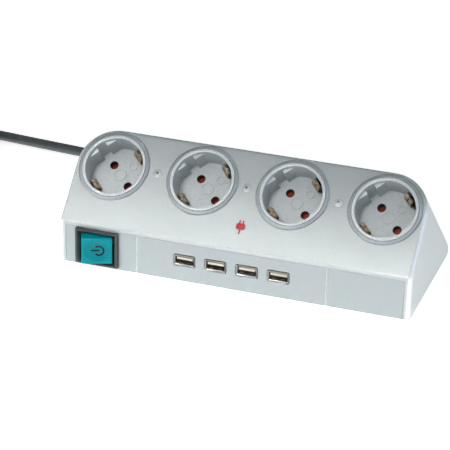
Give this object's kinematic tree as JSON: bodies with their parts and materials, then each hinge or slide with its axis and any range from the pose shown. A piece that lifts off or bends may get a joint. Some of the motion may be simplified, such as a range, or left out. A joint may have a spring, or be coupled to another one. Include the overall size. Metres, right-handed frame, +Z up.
{
  "type": "desk power strip",
  "caption": "Wedge-shaped desk power strip with angled earthed sockets, front charging ports, a rocker switch and a mains cord ending in a plug.",
  "frame": {"origin": "on the floor, under the middle of the strip's own box, cord and plug left out", "axes": "+Z up, +X along the strip, front panel with switch and charging ports facing -Y"},
  "size_m": [0.4672, 0.1904, 0.0789],
  "materials": {
    "silver_paint": "silver metallic paint on moulded plastic, fine satin",
    "base_plastic": "grey moulded plastic, matte",
    "socket_plastic": "silver grey moulded thermoplastic, satin",
    "shutter_plastic": "red moulded plastic",
    "brass_strip": "bent brass strip",
    "plated_steel": "nickel-plated steel",
    "spring_steel": "spring wire",
    "switch_plastic": "black moulded plastic, satin",
    "rocker_plastic": "translucent teal plastic, glossy",
    "lamp_glass": "clear glass",
    "usb_plastic": "cream moulded plastic",
    "board": "green solder mask",
    "winding_tape": "ferrite core with yellow tape",
    "capacitor_sleeve": "shrink sleeve",
    "terminal_plastic": "cream moulded plastic",
    "tray_plastic": "black moulded plastic",
    "foot_rubber": "soft black rubber",
    "cord_pvc": "black flexible sheath, satin",
    "tie_fabric": "black nylon tie",
    "plug_plastic": "black moulded plastic, fine texture"
  },
  "bodies": {
    "root": {"upper_housing": "silver_paint", "switch_panel": "silver_paint", "usb_panel": "silver_paint", "blank_panel": "silver_paint", "base_plate": "base_plastic", "socket_insert_1": "socket_plastic", "socket_insert_2": "socket_plastic", "socket_insert_3": "socket_plastic", "socket_insert_4": "socket_plastic", "earth_clip_1": "brass_strip", "earth_clip_2": "brass_strip", "earth_clip_3": "brass_strip", "earth_clip_4": "brass_strip", "earth_rail": "brass_strip", "live_rail": "brass_strip", "neutral_rail": "brass_strip", "shutter_spring_1": "spring_steel", "shutter_spring_2": "spring_steel", "shutter_spring_3": "spring_steel", "shutter_spring_4": "spring_steel", "contact_tray": "tray_plastic", "switch_body": "switch_plastic", "switch_lamp": "lamp_glass", "usb_shell_1": "plated_steel", "usb_shell_2": "plated_steel", "usb_shell_3": "plated_steel", "usb_shell_4": "plated_steel", "face_screw_1": "plated_steel", "face_screw_2": "plated_steel", "face_screw_3": "plated_steel", "base_screw_1": "plated_steel", "base_screw_2": "plated_steel", "base_screw_3": "plated_steel", "base_screw_4": "plated_steel", "plug_pin_1": "plated_steel", "plug_pin_2": "plated_steel", "usb_tongue_1": "usb_plastic", "usb_tongue_2": "usb_plastic", "usb_tongue_3": "usb_plastic", "usb_tongue_4": "usb_plastic", "usb_board": "board", "usb_transformer": "winding_tape", "usb_capacitor": "capacitor_sleeve", "terminal_block": "terminal_plastic", "foot_1": "foot_rubber", "foot_2": "foot_rubber", "foot_3": "foot_rubber", "foot_4": "foot_rubber", "cord_gland": "plug_plastic", "plug_body": "plug_plastic", "mains_cord": "cord_pvc", "cord_coil": "cord_pvc", "cord_tail": "cord_pvc", "cord_tie": "tie_fabric"},
    "rocker": {"rocker": "rocker_plastic"},
    "contact_lever": {"contact_lever": "brass_strip"},
    "shutter_1": {"shutter_1": "shutter_plastic"},
    "shutter_2": {"shutter_2": "shutter_plastic"},
    "shutter_3": {"shutter_3": "shutter_plastic"},
    "shutter_4": {"shutter_4": "shutter_plastic"}
  },
  "joints": [
    {"name": "rocker_tilt", "type": "hinge", "parent": "root", "child": "rocker", "pos_m": [-0.0933, -0.06416, 0.0154], "axis": [0, 0, -1], "range_deg": [0, 40]},
    {"name": "contact_lever_tilt", "type": "hinge", "parent": "root", "child": "contact_lever", "pos_m": [-0.0933, -0.05031, 0.0154], "axis": [0, 0, 1], "range_deg": [0, 20]},
    {"name": "shutter_1_turn", "type": "hinge", "parent": "root", "child": "shutter_1", "pos_m": [-0.0933, -0.01728, 0.0455], "axis": [0, -0.7071, 0.7071], "range_deg": [0, 40], "stiffness_Nm_per_rad": 0.01},
    {"name": "shutter_2_turn", "type": "hinge", "parent": "root", "child": "shutter_2", "pos_m": [-0.0311, -0.01728, 0.0455], "axis": [0, -0.7071, 0.7071], "range_deg": [0, 40], "stiffness_Nm_per_rad": 0.01},
    {"name": "shutter_3_turn", "type": "hinge", "parent": "root", "child": "shutter_3", "pos_m": [0.0311, -0.01728, 0.0455], "axis": [0, -0.7071, 0.7071], "range_deg": [0, 40], "stiffness_Nm_per_rad": 0.01},
    {"name": "shutter_4_turn", "type": "hinge", "parent": "root", "child": "shutter_4", "pos_m": [0.0933, -0.01728, 0.0455], "axis": [0, -0.7071, 0.7071], "range_deg": [0, 40], "stiffness_Nm_per_rad": 0.01}
  ],
  "couplings": [
    {"joint": "contact_lever_tilt", "follows": "rocker_tilt", "ratio": 0.5}
  ]
}
